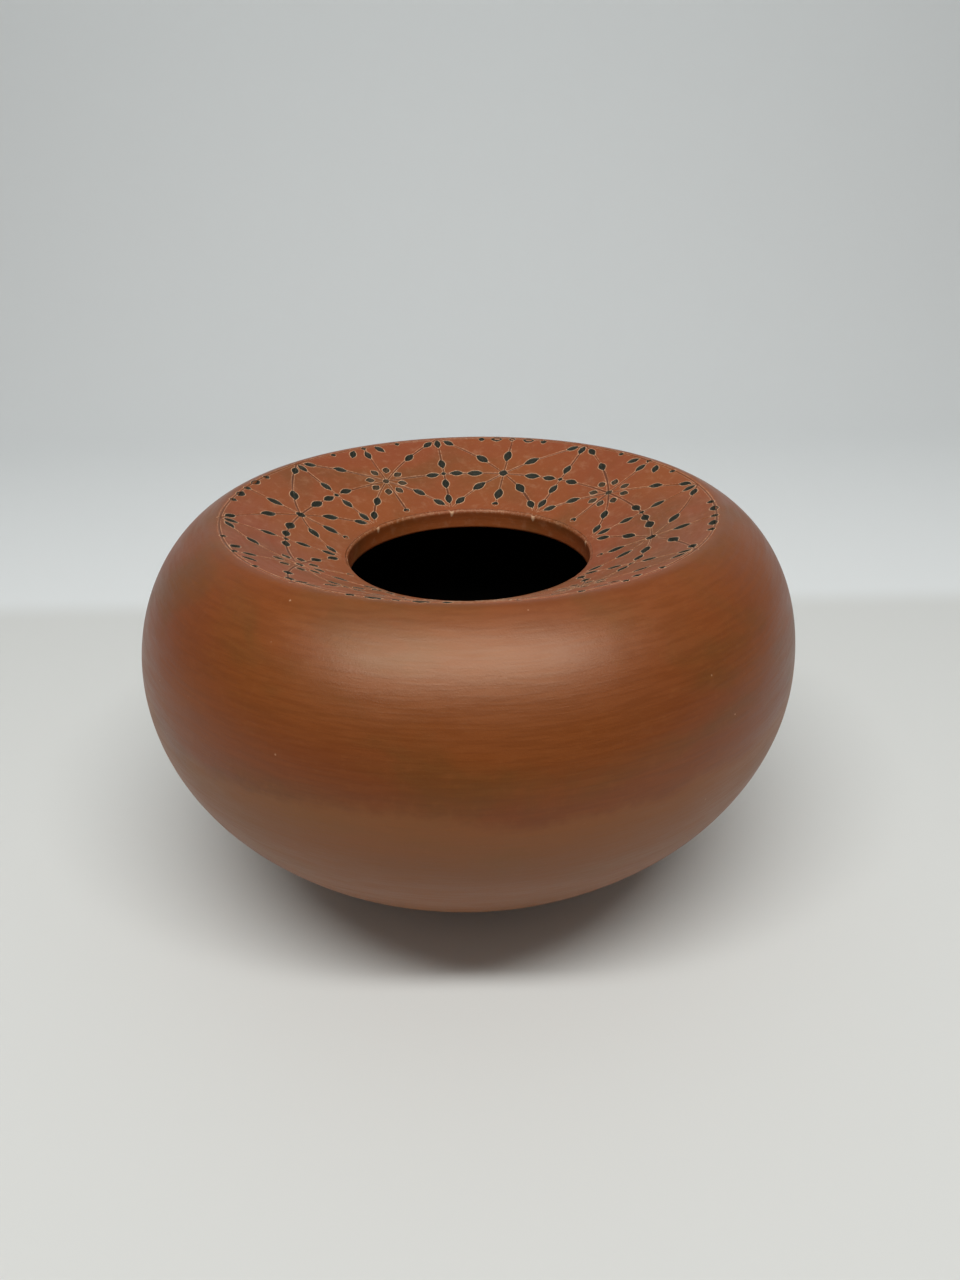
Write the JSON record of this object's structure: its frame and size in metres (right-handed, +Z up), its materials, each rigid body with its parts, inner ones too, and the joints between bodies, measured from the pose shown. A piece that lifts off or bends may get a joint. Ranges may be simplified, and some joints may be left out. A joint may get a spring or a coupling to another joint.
{
  "type": "clay pot",
  "caption": "Squat rounded terracotta pot with a sunken cone-shaped collar around the mouth, cut with leaf shapes stained black, and a black inside.",
  "frame": {"origin": "centre of the flat foot, on the surface that the pot stands on", "axes": "+Z up along the pot's axis; -Y faces the viewer; the first starburst of the collar stands 13 degrees from +Y towards +X"},
  "size_m": [0.2, 0.2, 0.1138],
  "materials": {
    "burnished_clay": "satin, burnished, orange-brown terracotta with faint streaks around the pot",
    "matte_slip": "matte, pinker slip with incised pale lines",
    "black_coat": "matte black",
    "black_stain": "matte, dark grey-green black"
  },
  "bodies": {
    "root": {"foot_disc": "burnished_clay", "lower_wall": "burnished_clay", "shoulder_wall": "burnished_clay", "dished_collar": "matte_slip", "mouth_lip": "matte_slip", "inner_coat": "black_coat", "starburst_stain": "black_stain", "ring_flower_stain": "black_stain", "cross_stain": "black_stain", "outer_fan_stain": "black_stain", "inner_fan_stain": "black_stain", "link_leaf_stain": "black_stain", "edge_dot_stain": "black_stain", "lip_dot_stain": "black_stain"}
  },
  "joints": []
}
